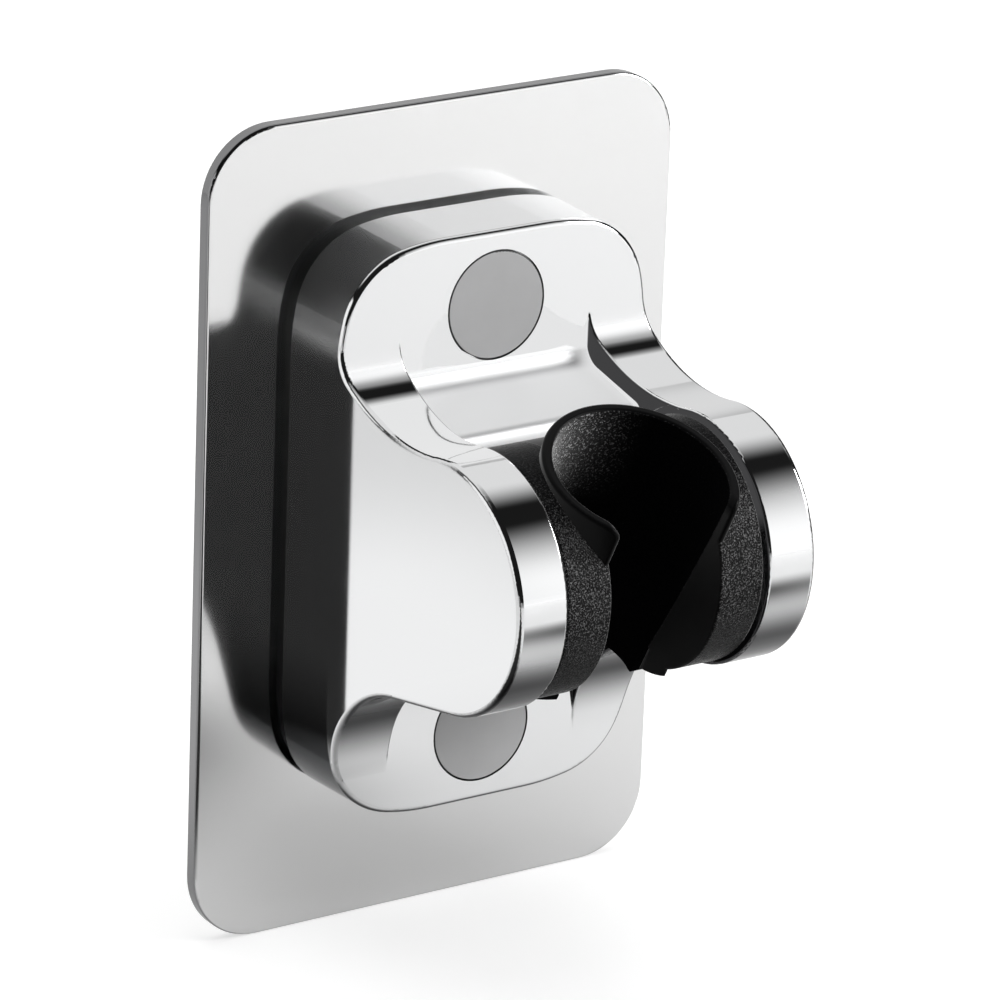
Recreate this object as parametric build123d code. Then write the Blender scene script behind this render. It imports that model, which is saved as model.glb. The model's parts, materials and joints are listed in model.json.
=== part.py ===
"""A wall holder for a hand shower: plate, housing with two ears, and a cradle hinged between the ears.

Millimetres. The wall is the plane Y = 0, the front looks toward -Y and Z is up. The origin is the middle of
the back face. Depths are counted forward from the wall and heights from the middle of the plate.
"""

import math
import os

from build123d import *

os.makedirs("parts", exist_ok=True)


# Stack from the wall forward
pad_thickness = 0.8
pad_inset = 2.5
plate_thickness = 2.0
plate_front = pad_thickness + plate_thickness
gasket_thickness = 1.8
gasket_inset = 1.3
housing_rear = plate_front + gasket_thickness

# Plate
plate_width = 77.0
plate_height = 120.0
plate_corner_radius = 10.5
plate_edge_round = 0.5
pad_corner_radius = plate_corner_radius - pad_inset

# Housing outline at its rear edge, seen from the front
housing_half_width = 25.8
housing_half_height = 42.6
housing_middle = 2.5
soft_radius = 35.0
tight_radius = 12.5
soft_turn = 12.0
draft = 1.5
wall = 2.2
outer_round = 0.8
face_height = 13.75
face_depth = plate_front + face_height

# Ear outline, seen from the side
axis_reach = 39.6
axis_depth = plate_front + axis_reach
axis_height = 5.4
barrel_radius = 17.3
head_margin = 0.7
head_radius = barrel_radius + head_margin
neck_top = 31.4
neck_small_radius = 5.0
neck_small_turn = 58.0
underside_slope = 9.8
underside_radius = 18.0
neck_foot_gap = 15.5
head_gap = 16.55
head_gap_run = 7.6
head_gap_start = axis_depth - head_gap_run
gap_bend_radius = 100.0
inner_round = 0.4

# Space between the ears, seen from the side
shelf_top = 26.5
shelf_radius = 3.5
shelf_slope = 15.0
shelf_joint = 0.5
nose_radius = 1.8
hollow_clearance = 1.1
hollow_slope = 25.0
hollow_foot_radius = 15.0

# Cradle
end_clearance = 0.45
barrel_half_length = head_gap - end_clearance
barrel_round = 0.4
tilt = 24.0
socket_offset = 3.0
rim_stand = 1.1
rim_height = barrel_radius + rim_stand
rim_inner_radius = 12.4
rim_wall = 1.5
horn_round = 1.8
socket_taper = 4.9
lip_taper = 2.5
spigot_stand = 0.9
spigot_end = barrel_radius + spigot_stand
spigot_wall = 3.0
foot_radius = 8.0
foot_reach = 4.4
foot_rise = 5.5
foot_land = 1.2
slot_half_width = 8.95
lip_depth = 9.0
cradle_round = 0.35
lip_round = 0.5

# Hinge
trunnion_radius = 4.5
trunnion_length = 2.3
trunnion_lead = 0.5
running_clearance = 0.05
lean_back = 24.0
lean_forward = 36.0
stop_edge = 3.8
stop_circle = barrel_radius - stop_edge
stop_pin_angle = 180.0
stop_pin_radius = 1.3
stop_pin_length = 1.9
stop_clearance = 0.3
disc_radius = 10.0
disc_clearance = 0.05

# Studs, nuts and caps
stud_spacing = 63.0
stud_radius = 2.5
stud_head_radius = 4.0
stud_head_thickness = 1.0
stud_lead = 0.4
stud_clearance = 0.05
through_clearance = 0.3
well_floor = 2.5
well_wall = 1.8
washer_radius = 5.5
washer_thickness = 1.0
spring_washer_radius = 4.6
spring_washer_thickness = 1.2
spring_washer_split = 0.8
spring_washer_slant = 20.0
nut_across_flats = 8.0
nut_height = 4.0
nut_crown = 0.1
nut_chamfer_angle = 32.0
stud_spare = 1.0
cap_radius = 7.8
cap_thickness = 1.6
cap_ring_gap = 0.18
cap_round = 0.2
cap_skirt_radius = 7.2
cap_skirt_wall = 1.0
cap_skirt_length = 1.7
skirt_clearance = 0.1

# Derived depths and heights
stud_heights = [housing_middle + stud_spacing / 2, housing_middle - stud_spacing / 2]
well_seat = housing_rear + well_floor
washer_top = well_seat + washer_thickness
spring_washer_top = washer_top + spring_washer_thickness
nut_top = spring_washer_top + nut_height
stud_end = nut_top + stud_spare
cap_seat = face_depth - cap_thickness
nut_top_radius = nut_across_flats / 2 + nut_crown
nut_cone_radius = nut_top_radius + nut_height * math.tan(math.radians(nut_chamfer_angle))

# Lengths that only help the cutting: past every side, past a face, and near enough
far = 200.0
overcut = 1.0
nearby = 0.01


def save(solid, name):
    """Write one node's solid, or group of solids, to its file."""
    export_step(solid, f"parts/{name}.step")


def front_plane(depth):
    """The plane at a depth from the wall, with its normal toward the viewer."""
    return Plane(origin=(0, -depth, 0), x_dir=(1, 0, 0), z_dir=(0, -1, 0))


# Seen from the right: the sketch's first axis is the depth and its second one the height.
side_plane = Plane(origin=(0, 0, 0), x_dir=(0, -1, 0), z_dir=(-1, 0, 0))


def pillar(radius, start, end, height):
    """A round bar that stands on the wall at a height, from one depth to another."""
    return extrude(front_plane(start) * Pos(0, height) * Circle(radius), end - start)


def across(sketch, half_length):
    """A sketch in the side plane drawn out both ways across the part."""
    return extrude(side_plane * sketch, half_length, both=True)


def polar(radius, angle):
    """A vector from a length and an angle in degrees."""
    return Vector(radius * math.cos(math.radians(angle)), radius * math.sin(math.radians(angle)))


def rounded_plate(inset, radius, start, thickness):
    """A rectangular sheet with round corners, inset from the plate's outline."""
    sheet = RectangleRounded(plate_width - 2 * inset, plate_height - 2 * inset, radius)
    return extrude(front_plane(start) * sheet, thickness)


def housing_outline(inset):
    """The housing's outline with soft corners of three tangent arcs, inset by a distance."""
    soft = soft_radius - inset
    tight = tight_radius - inset
    near = math.radians(soft_turn)
    end = math.radians(90 - soft_turn)
    bend = soft * (1 - math.cos(near))
    bend += tight * (math.cos(near) - math.cos(end))
    bend += soft * math.cos(end)
    half_width = housing_half_width - inset
    half_height = housing_half_height - inset
    tight_turn = 90 - 2 * soft_turn
    line = Line((half_width, bend - half_height), (half_width, half_height - bend))
    pieces = [line]
    for length in (half_width, half_height, half_width, half_height):
        for radius, turn in ((soft, soft_turn), (tight, tight_turn), (soft, soft_turn)):
            line = JernArc(line @ 1, line % 1, radius, turn)
            pieces.append(line)
        run = 2 * (length - bend)
        if len(pieces) < 16:
            line = Line(line @ 1, line @ 1 + (line % 1) * run)
            pieces.append(line)
    return Pos(0, housing_middle) * make_face(pieces)


def ear_profile(inset):
    """The housing as seen from the side at an ear, inset by a distance from its front."""
    head = Vector(axis_depth, axis_height)
    face = face_depth - inset
    small_middle = Vector(face_depth + neck_small_radius, neck_top)
    toward = polar(1, 180 + neck_small_turn)
    meeting = small_middle + toward * neck_small_radius
    offset = meeting - head
    reach = offset.dot(toward * -1)
    large_radius = (head_radius**2 - offset.length**2) / (2 * (reach - head_radius))
    large_middle = meeting - toward * large_radius
    rise = large_middle - head
    crest_angle = math.degrees(math.atan2(rise.Y, rise.X))
    foot_angle = underside_slope - 90
    below = polar(1, foot_angle)
    foot = head + below * head_radius
    foot_depth = face_depth + underside_radius
    sine = math.sin(math.radians(underside_slope))
    cosine = math.cos(math.radians(underside_slope))
    foot_height = foot.Y + ((foot_depth - foot.X) * sine - underside_radius) / cosine
    low_middle = Vector(foot_depth, foot_height)

    small = small_middle + polar(neck_small_radius + inset, 180)
    top = Line((face, far), small)
    bend = JernArc(top @ 1, top % 1, neck_small_radius + inset, neck_small_turn)
    sweep = crest_angle + 180 - (180 + neck_small_turn)
    neck = JernArc(bend @ 1, bend % 1, large_radius + inset, sweep)
    round_head = JernArc(neck @ 1, neck % 1, head_radius - inset, foot_angle - crest_angle)
    run = low_middle - below * (underside_radius + inset)
    underside = Line(round_head @ 1, run)
    low_bend = JernArc(underside @ 1, underside % 1, underside_radius + inset, 90 - underside_slope)
    low = Line(low_bend @ 1, (face, -far))
    back = Polyline(low @ 1, (0, -far), (0, far), top @ 0)
    return make_face([top, bend, neck, round_head, underside, low_bend, low, back])


def middle_profile():
    """The housing as seen from the side between the ears: shelf, nose and the hollow behind the cradle."""
    head = Vector(axis_depth, axis_height)
    hollow_radius = barrel_radius + hollow_clearance
    top = Line((face_depth, far), (face_depth, shelf_top))
    bend = JernArc(top @ 1, top % 1, shelf_radius, 90 - shelf_slope)
    ahead = bend % 1
    up = Vector(-ahead.Y, ahead.X)
    level = (bend @ 1) - up * nose_radius - head
    along = level.dot(ahead)
    reach = hollow_radius + nose_radius
    run = -along - math.sqrt(along**2 - level.length**2 + reach**2)
    shelf = Line(bend @ 1, (bend @ 1) + ahead * run)
    nose_middle = (shelf @ 1) - up * nose_radius
    outward = nose_middle - head
    nose_angle = math.degrees(math.atan2(outward.Y, outward.X))
    nose = JernArc(shelf @ 1, shelf % 1, nose_radius, nose_angle + 90 + shelf_slope - 360)
    hollow = JernArc(nose @ 1, nose % 1, hollow_radius, 180 - hollow_slope - nose_angle)
    ease = hollow_foot_radius * math.tan(math.radians(hollow_slope / 2))
    drop = ((hollow @ 1).X - face_depth) / math.sin(math.radians(hollow_slope))
    back = Line(hollow @ 1, (hollow @ 1) + (hollow % 1) * (drop - ease))
    foot = JernArc(back @ 1, back % 1, hollow_foot_radius, hollow_slope)
    low = Line(foot @ 1, (face_depth, -far))
    rear = Polyline(low @ 1, (0, -far), (0, far), top @ 0)
    return make_face([top, bend, shelf, nose, hollow, back, foot, low, rear])


def middle_pocket():
    """The hollow inside the shelf, one wall behind its surfaces, as seen from the side."""
    head = Vector(axis_depth, axis_height)
    under = Vector(face_depth, shelf_top - shelf_radius) - Vector(0, wall)
    slope = math.tan(math.radians(shelf_slope))
    tip = Vector(axis_depth, under.Y - (axis_depth - face_depth) * slope)
    floor_run = math.tan(math.radians(hollow_slope))
    reach = barrel_radius + hollow_clearance + wall
    low = head + polar(reach, 180 - hollow_slope)
    rear_depth = face_depth - wall - overcut
    rear = Vector(rear_depth, low.Y - (low.X - rear_depth) / floor_run)
    start = Vector(rear.X, under.Y)
    pocket = make_face(Polyline(start, under, tip, (axis_depth, low.Y), low, rear, close=True))
    return pocket - Pos(axis_depth, axis_height) * Circle(reach)


def gap_plan(grow):
    """The space between the ears as seen from above, on the flat plane."""
    half = [
        (neck_foot_gap + grow, -face_depth),
        (head_gap + grow, -head_gap_start),
        (head_gap + grow, -far),
    ]
    mirrored = [(-x, y) for x, y in reversed(half)]
    root = [(-neck_foot_gap - grow, 0), (neck_foot_gap + grow, 0)]
    plan = make_face(Polyline(*half, *mirrored, *root, close=True))
    bends = [corner for corner in plan.vertices() if -far < corner.Y < 0]
    return fillet(bends, gap_bend_radius)


def hinge_cylinder(radius, start, end):
    """A round bar on the hinge line, between two distances from the middle plane."""
    ring = side_plane * Pos(axis_depth, axis_height) * Circle(radius)
    return Pos(start, 0, 0) * extrude(ring, start - end)


def mirrored_pair(solid):
    """A solid together with its mirror image on the other side of the middle plane."""
    return solid + mirror(solid, Plane.YZ)


# Adhesive pad
adhesive_pad = rounded_plate(pad_inset, pad_corner_radius, 0, pad_thickness)
save(adhesive_pad, "adhesive_pad")

# Back plate
back_plate = rounded_plate(0, plate_corner_radius, pad_thickness, plate_thickness)
back_plate = fillet(back_plate.faces().sort_by(Axis.Y)[0].edges(), plate_edge_round)
for height in stud_heights:
    back_plate -= pillar(stud_radius + stud_clearance, 0, far, height)
    back_plate -= pillar(stud_head_radius + stud_clearance, 0, pad_thickness + stud_head_thickness, height)
save(back_plate, "back_plate")

# Studs, washers and nuts
studs = []
washers = []
spring_washers = []
nuts = []
for height in stud_heights:
    stud = pillar(stud_head_radius, pad_thickness, pad_thickness + stud_head_thickness, height)
    stud += pillar(stud_radius, pad_thickness, stud_end, height)
    stud = chamfer(stud.faces().sort_by(Axis.Y)[0].edges(), stud_lead)
    studs.append(stud)
    washer = pillar(washer_radius, well_seat, washer_top, height)
    washer -= pillar(stud_radius + through_clearance, 0, far, height)
    washers.append(washer)
    spring = pillar(spring_washer_radius, washer_top, spring_washer_top, height)
    spring -= pillar(stud_radius + through_clearance, 0, far, height)
    split = Box(spring_washer_radius, spring_washer_radius, spring_washer_split)
    spring -= Pos(spring_washer_radius, -washer_top, height) * Rot(0, 0, spring_washer_slant) * split
    spring_washers.append(spring)
    hexagon = Pos(0, height) * RegularPolygon(nut_across_flats / 2, 6, major_radius=False)
    nut = extrude(front_plane(spring_washer_top) * hexagon, nut_height)
    nut &= Pos(0, -spring_washer_top, height) * Rot(90, 0, 0) * Cone(
        nut_cone_radius,
        nut_top_radius,
        nut_height,
        align=(Align.CENTER, Align.CENTER, Align.MIN),
    )
    nut -= pillar(stud_radius + stud_clearance, 0, far, height)
    nuts.append(nut)
save(Compound(studs), "plate_studs")
save(Compound(washers), "stud_washers")
save(Compound(spring_washers), "stud_spring_washers")
save(Compound(nuts), "stud_nuts")

# Base gasket
gasket = extrude(front_plane(plate_front) * housing_outline(gasket_inset), gasket_thickness)
for height in stud_heights:
    gasket -= pillar(stud_radius + 2 * through_clearance, 0, far, height)
save(gasket, "base_gasket")

# Housing: two ears, the face behind them and the shelf between them
profile = ear_profile(0)
ears = across(profile, far) - extrude(gap_plan(0), far, both=True)
profile_line = profile.wire()
inner_edges = []
for edge in ears.edges():
    point = edge @ 0.5
    near_gap = abs(point.X) < head_gap + nearby
    on_front = profile_line.distance_to(Vertex(-point.Y, point.Z, 0)) < nearby
    along_depth = abs((edge % 0.5).Y) > 0.99 and abs(point.Z) > far / 2
    if near_gap and on_front and point.Y < -overcut and not along_depth:
        inner_edges.append(edge)
ears = fillet(inner_edges, inner_round)
ears -= hinge_cylinder(barrel_radius + hollow_clearance, -head_gap, head_gap)
face_block = across(Pos(face_depth / 2, 0) * Rectangle(face_depth, 2 * far), far)
shelf_block = across(middle_profile(), head_gap + shelf_joint)
drafted = extrude(front_plane(housing_rear) * housing_outline(0), far / 2, taper=draft)
drafted_sides = drafted.faces().sort_by(Axis.Y)[1:-1]
housing = drafted & (ears + face_block + shelf_block)
front_edges = []
for edge in housing.edges():
    point = edge @ 0.5
    on_side = min(side.distance_to(Vertex(point)) for side in drafted_sides) < nearby
    front_to_back = max((edge @ 0).Y, (edge @ 1).Y) > -housing_rear - nearby
    if on_side and not front_to_back:
        front_edges.append(edge)
housing = fillet(front_edges, outer_round)

# Housing: hollow from behind
inner_wall = head_gap + wall
cavity = extrude(front_plane(housing_rear) * housing_outline(wall), far / 2, taper=draft)
ear_cavity = across(ear_profile(wall), far) - Box(2 * inner_wall, 2 * far, 2 * far)
face_cavity = across(Pos((face_depth - wall) / 2, 0) * Rectangle(face_depth - wall, 2 * far), far)
shelf_cavity = across(middle_pocket(), neck_foot_gap)
cavity &= ear_cavity + face_cavity + shelf_cavity
housing -= cavity

# Housing: wells for the nuts, with a seat for the caps
well_radius = cap_skirt_radius + skirt_clearance
recess_radius = cap_radius + cap_ring_gap
for height in stud_heights:
    housing += pillar(recess_radius + well_wall, housing_rear, face_depth - wall / 2, height)
    housing -= pillar(stud_radius + through_clearance, 0, far, height)
    housing -= pillar(well_radius, well_seat, face_depth + overcut, height)
    housing -= pillar(recess_radius, cap_seat, face_depth + overcut, height)

# Housing: hinge holes and stop pins in the ears' inner walls
hole = hinge_cylinder(trunnion_radius + running_clearance, head_gap - overcut, inner_wall + overcut)
housing -= mirrored_pair(hole)
pin_middle = Vector(axis_depth, axis_height) + polar(stop_circle, stop_pin_angle)
pin_place = side_plane * Pos(pin_middle)
pin = extrude(pin_place * Circle(stop_pin_radius), stop_pin_length + wall / 2)
pin = Pos(head_gap + wall / 2, 0, 0) * pin
housing += mirrored_pair(pin)
save(housing, "housing")

# Caps
cap_names = ["upper_cap", "lower_cap"]
for name, height in zip(cap_names, stud_heights):
    cap = pillar(cap_radius, cap_seat, face_depth, height)
    cap = fillet(cap.faces().sort_by(Axis.Y)[0].edges(), cap_round)
    skirt = pillar(cap_skirt_radius, cap_seat - cap_skirt_length, cap_seat, height)
    skirt -= pillar(cap_skirt_radius - cap_skirt_wall, 0, far, height)
    save(cap + skirt, name)

# Cradle, built upright around the hinge line and then leaned forward
taper_slope = math.tan(math.radians(socket_taper))
lip_slope = math.tan(math.radians(lip_taper))
rim_radius = rim_inner_radius + rim_wall
lip_foot = rim_height - lip_depth
foot_top = foot_rise - spigot_end
foot_low = foot_land - spigot_end


def bore_radius(height):
    """The socket's inner radius at a height above the hinge line."""
    return rim_inner_radius - (rim_height - height) * taper_slope


def turned(*profile):
    """A face of radii and heights, given as points, turned about the socket's axis."""
    return Pos(0, -socket_offset, 0) * revolve(Plane.XZ * make_face(Polyline(*profile, close=True)), Axis.Z)


# The socket's bore: a slow taper for the handset's cone, then a sloping floor with a hole for the hose
bore = turned(
    (0, rim_height),
    (rim_inner_radius, rim_height),
    (bore_radius(foot_top), foot_top),
    (foot_radius, foot_low),
    (foot_radius, -far / 4),
    (0, -far / 4),
)
slot_plane = Plane(origin=(0, -socket_offset, 0), x_dir=(1, 0, 0), z_dir=(0, -1, 0))
slot = extrude(slot_plane * Rectangle(2 * slot_half_width, far / 2), far / 4)
floor_space = Box(far, 2 * foot_reach, far, align=(Align.CENTER, Align.CENTER, Align.MAX))
slot -= Pos(0, -socket_offset, foot_top) * floor_space

barrel = Rot(0, 90, 0) * Cylinder(barrel_radius, 2 * barrel_half_length)
barrel = fillet(barrel.edges().filter_by(GeomType.CIRCLE), barrel_round)
barrel -= slot
slot_edges = []
for edge in barrel.edges().filter_by(GeomType.CIRCLE):
    if abs(abs((edge @ 0.5).X) - slot_half_width) < nearby:
        slot_edges.append(edge)
barrel = fillet(slot_edges, cradle_round)

# The lip round the mouth, with its two horns beside the slot
lip = turned(
    (0, rim_height),
    (rim_radius, rim_height),
    (rim_radius - lip_depth * lip_slope, lip_foot),
    (0, lip_foot),
)
lip -= bore
lip -= slot
horns = lip.edges().filter_by(GeomType.LINE).group_by(Axis.Z)[-1]
lip = fillet(horns, horn_round)
lip = fillet([edge for edge in lip.edges() if (edge @ 0.5).Z > lip_foot + nearby], lip_round)

# The spigot, the socket's lower end, which is round about the hinge line like the barrel
spigot_radius = bore_radius(-spigot_end) + spigot_wall
spigot = turned(
    (0, foot_top),
    (spigot_radius + foot_rise * taper_slope, foot_top),
    (spigot_radius, -spigot_end),
    (0, -spigot_end),
)
spigot &= Rot(0, 90, 0) * Cylinder(spigot_end, 2 * barrel_half_length)
spigot -= bore
spigot -= slot

cradle = barrel - bore
cradle += lip - barrel
cradle += spigot - barrel
cradle = Pos(0, -axis_depth, axis_height) * Rot(tilt, 0, 0) * cradle

# Cradle: trunnions and the grooves for the stop pins
trunnion_end = barrel_half_length + trunnion_length
trunnion = hinge_cylinder(trunnion_radius, barrel_half_length - overcut, trunnion_end)
trunnion = chamfer(trunnion.faces().sort_by(Axis.X)[-1].edges(), trunnion_lead)
cradle += mirrored_pair(trunnion)
sweep = lean_back + lean_forward
travel = CenterArc((axis_depth, axis_height), stop_circle, stop_pin_angle - lean_back, sweep)
groove_floor = head_gap - stop_pin_length - stop_clearance
groove_outline = side_plane * SlotArc(travel, 2 * (stop_pin_radius + stop_clearance))
groove = Pos(head_gap, 0, 0) * extrude(groove_outline, head_gap - groove_floor)
cradle -= mirrored_pair(groove)
save(cradle, "cradle")

# Friction discs
disc = hinge_cylinder(disc_radius, barrel_half_length, head_gap - disc_clearance)
disc -= hinge_cylinder(trunnion_radius + running_clearance, 0, far)
for name, solid in (("right_friction_disc", disc), ("left_friction_disc", mirror(disc, Plane.YZ))):
    save(solid, name)
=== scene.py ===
"""Finishes, studio and camera for a wall-mounted hand shower holder.

Metres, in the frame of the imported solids: the wall is the plane Y = 0, the front looks toward -Y and Z is up.
The solids carry the shapes. This script gives each of them its finish and sets up the light around them.
"""

from __future__ import annotations

import json
import logging
import math
from dataclasses import dataclass, field
from enum import Enum

import bpy
from mathutils import Matrix, Vector

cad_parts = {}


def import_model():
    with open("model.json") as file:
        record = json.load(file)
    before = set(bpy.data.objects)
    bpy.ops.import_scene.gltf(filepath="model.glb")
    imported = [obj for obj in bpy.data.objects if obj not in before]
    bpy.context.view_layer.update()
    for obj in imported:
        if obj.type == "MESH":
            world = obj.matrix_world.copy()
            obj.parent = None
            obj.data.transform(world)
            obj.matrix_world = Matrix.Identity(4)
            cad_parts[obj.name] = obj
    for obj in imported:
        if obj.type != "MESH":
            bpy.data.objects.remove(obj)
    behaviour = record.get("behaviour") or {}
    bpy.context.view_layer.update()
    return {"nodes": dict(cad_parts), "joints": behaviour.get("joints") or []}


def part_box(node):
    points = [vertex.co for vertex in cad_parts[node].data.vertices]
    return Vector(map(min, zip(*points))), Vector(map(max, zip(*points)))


LOG = logging.getLogger("shower_holder")
MILLIMETRE = 0.001

Colour = tuple[float, float, float]
Point = tuple[float, float, float]
Span = tuple[float, float]
Node = bpy.types.Node
Socket = bpy.types.NodeSocket


class Slot(Enum):
    """The record's material slots, one for each finish."""

    FOAM = "adhesive_foam"
    PLATE = "plate_steel"
    FASTENER = "fastener_steel"
    GASKET = "gasket_rubber"
    CHROME = "housing_chrome"
    CAP = "cap_plastic"
    CRADLE = "cradle_plastic"
    DISC = "disc_rubber"


class Body(Enum):
    """The two bodies that the hinge joins."""

    BRACKET = "bracket"
    CRADLE = "cradle_body"


class Graph:
    """A node tree with short calls for adding and joining nodes."""

    def __init__(self, tree: bpy.types.NodeTree) -> None:
        """Start on an emptied tree.

        Args:
            tree: the tree of a material, a world or a node group.
        """
        self.tree = tree
        tree.nodes.clear()

    def add(self, kind: str, settings: dict | None = None, **inputs: object) -> Node:
        """Add a node, set its properties and fill or join its inputs.

        Args:
            kind: the node's type name.
            settings: node properties by name.
            inputs: socket names with _ for a space; a socket is joined and any other value is set.

        Returns:
            The new node.
        """
        node = self.tree.nodes.new(kind)
        for name, value in (settings or {}).items():
            setattr(node, name, value)
        for name, value in inputs.items():
            self.feed(node.inputs[name.replace("_", " ")], value)
        return node

    def feed(self, socket: Socket, value: object) -> None:
        """Join a socket to another one, or set its value.

        Args:
            socket: the input to fill.
            value: an output socket, or a plain value.
        """
        if isinstance(value, Socket):
            self.tree.links.new(value, socket)
        else:
            socket.default_value = value

    def math(self, operation: str, *terms: object, clamp: bool = False) -> Socket:
        """Add a Math node.

        Args:
            operation: the node's operation.
            terms: up to three sockets or numbers.
            clamp: whether the result stays between 0 and 1.

        Returns:
            The node's output socket.
        """
        node = self.add("ShaderNodeMath", {"operation": operation, "use_clamp": clamp})
        for socket, value in zip(node.inputs, terms):
            self.feed(socket, value)
        return node.outputs[0]

    def product(self, first: object, *others: object) -> object:
        """Multiply masks and numbers.

        Args:
            first: socket or number.
            others: sockets or numbers.

        Returns:
            The product's socket.
        """
        total = first
        for other in others:
            total = self.math("MULTIPLY", total, other)
        return total

    def flip(self, mask: Socket) -> Socket:
        """One minus a mask."""
        return self.math("SUBTRACT", 1.0, mask)

    def ease(self, value: object, low: object, high: object) -> Socket:
        """A mask that rises smoothly from 0 at one value to 1 at another.

        Args:
            value: the measured socket.
            low: where the mask is 0.
            high: where the mask is 1, which may be below the other end.

        Returns:
            The mask's socket.
        """
        node = self.add("ShaderNodeMapRange", {"interpolation_type": "SMOOTHSTEP"}, Value=value)
        self.feed(node.inputs["From Min"], low)
        self.feed(node.inputs["From Max"], high)
        return node.outputs[0]

    def mix(self, factor: object, first: object, second: object) -> Socket:
        """Blend two numbers.

        Args:
            factor: 0 for the first number and 1 for the second.
            first: socket or number.
            second: socket or number.

        Returns:
            The blend's socket.
        """
        node = self.add("ShaderNodeMix", {"data_type": "FLOAT"})
        for socket, value in zip(node.inputs[:1] + node.inputs[2:4], (factor, first, second)):
            self.feed(socket, value)
        return node.outputs[0]

    def tint(self, factor: object, first: object, second: object) -> Socket:
        """Blend two colours.

        Args:
            factor: 0 for the first colour and 1 for the second.
            first: socket or linear colour with alpha.
            second: socket or linear colour with alpha.

        Returns:
            The blend's colour socket.
        """
        node = self.add("ShaderNodeMix", {"data_type": "RGBA"})
        for socket, value in zip((node.inputs[0], node.inputs[6], node.inputs[7]), (factor, first, second)):
            self.feed(socket, value)
        return node.outputs[2]

    def parts(self, vector: Socket) -> bpy.types.NodeOutputs:
        """The X, Y and Z sockets of a vector."""
        return self.add("ShaderNodeSeparateXYZ", None, Vector=vector).outputs

    def normal(self) -> Socket:
        """The solid's own normal, without bump."""
        return self.add("ShaderNodeNewGeometry").outputs["Normal"]


class Effect(Enum):
    """Surface effects that several finishes share, each one a node group."""

    GRAIN = "moulded_grain"
    HANDLING = "handling_marks"

    def group(self) -> bpy.types.NodeTree:
        """Find the effect's node group, and build it on the first call.

        Returns:
            The node group.
        """
        found = bpy.data.node_groups.get(self.value)
        if found is None:
            found = {Effect.GRAIN: build_grain, Effect.HANDLING: build_handling}[self](self.value)
        return found

    def place(self, graph: Graph, **inputs: object) -> Node:
        """Put the effect into a material.

        Args:
            graph: the material's graph.
            inputs: values or sockets for the group's inputs.

        Returns:
            The group node.
        """
        node = graph.add("ShaderNodeGroup", {"node_tree": self.group()})
        for name, value in inputs.items():
            graph.feed(node.inputs[name], value)
        return node


def new_group(name: str, inputs: dict[str, float | None], outputs: list[str]) -> tuple[Graph, Node]:
    """Make a node group with its sockets.

    Args:
        name: the group's name.
        inputs: input names with default numbers, or None for a vector.
        outputs: names of number outputs.

    Returns:
        The group's graph and its input node.
    """
    tree = bpy.data.node_groups.new(name, "ShaderNodeTree")
    for title, default in inputs.items():
        kind = "NodeSocketVector" if default is None else "NodeSocketFloat"
        socket = tree.interface.new_socket(title, in_out="INPUT", socket_type=kind)
        if default is not None:
            socket.default_value = default
    for title in outputs:
        tree.interface.new_socket(title, in_out="OUTPUT", socket_type="NodeSocketFloat")
    graph = Graph(tree)
    return graph, graph.add("NodeGroupInput")


def build_grain(name: str) -> bpy.types.NodeTree:
    """Pebbled grain of a spark-eroded mould: small raised cells of uneven height.

    Args:
        name: the group's name.

    Returns:
        The node group, with a Height for bump, a Mottle for roughness and a Glint mask on some of the cells, for
        painted glints.
    """
    cell_softness = 0.6
    drift_rate, mottle_rate = 1.4, 0.08
    glint_span: Span = (0.48, 0.70)
    sockets = {"Vector": None, "Pitch": 0.3, "Unevenness": 0.5}
    graph, given = new_group(name, sockets, ["Height", "Mottle", "Glint"])
    spot = given.outputs["Vector"]
    scale = graph.math("DIVIDE", 1.0, given.outputs["Pitch"])
    cells = graph.add("ShaderNodeTexVoronoi", {"feature": "SMOOTH_F1"}, Vector=spot, Scale=scale,
                      Smoothness=cell_softness)
    drift = graph.add("ShaderNodeTexNoise", None, Vector=spot, Detail=2.0,
                      Scale=graph.math("MULTIPLY", scale, drift_rate))
    dome = graph.math("SUBTRACT", 1.0, cells.outputs["Distance"], clamp=True)
    height = graph.mix(given.outputs["Unevenness"], dome, drift.outputs[0])
    wide = graph.add("ShaderNodeTexNoise", None, Vector=spot, Detail=3.0,
                     Scale=graph.math("MULTIPLY", scale, mottle_rate))
    glint_noise = graph.add("ShaderNodeTexNoise", None, Vector=spot, Scale=scale, Detail=2.0)
    glint = graph.ease(glint_noise.outputs[0], *glint_span)
    graph.add("NodeGroupOutput", None, Height=height, Mottle=wide.outputs[0], Glint=glint)
    return graph.tree


def build_handling(name: str) -> bpy.types.NodeTree:
    """Faint cloudy marks of wiping and touching on polished metal.

    Args:
        name: the group's name.

    Returns:
        The node group, with a Haze for roughness and a Swell for bump.
    """
    haze_span: Span = (0.38, 0.74)
    graph, given = new_group(name, {"Vector": None, "Size": 0.02, "Swell Size": 0.02}, ["Haze", "Swell"])
    spot = given.outputs["Vector"]
    cloud = graph.add("ShaderNodeTexNoise", None, Vector=spot, Detail=5.0, Roughness=0.62,
                      Scale=graph.math("DIVIDE", 1.0, given.outputs["Size"]))
    haze = graph.ease(cloud.outputs[0], *haze_span)
    swell = graph.add("ShaderNodeTexNoise", None, Vector=spot, Detail=1.0,
                      Scale=graph.math("DIVIDE", 1.0, given.outputs["Swell Size"]))
    graph.add("NodeGroupOutput", None, Haze=haze, Swell=swell.outputs[0])
    return graph.tree


def opaque(colour: Colour, level: float = 1.0) -> tuple[float, float, float, float]:
    """A colour at some brightness with full alpha, as sockets take it."""
    return (*(channel * level for channel in colour), 1.0)


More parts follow.
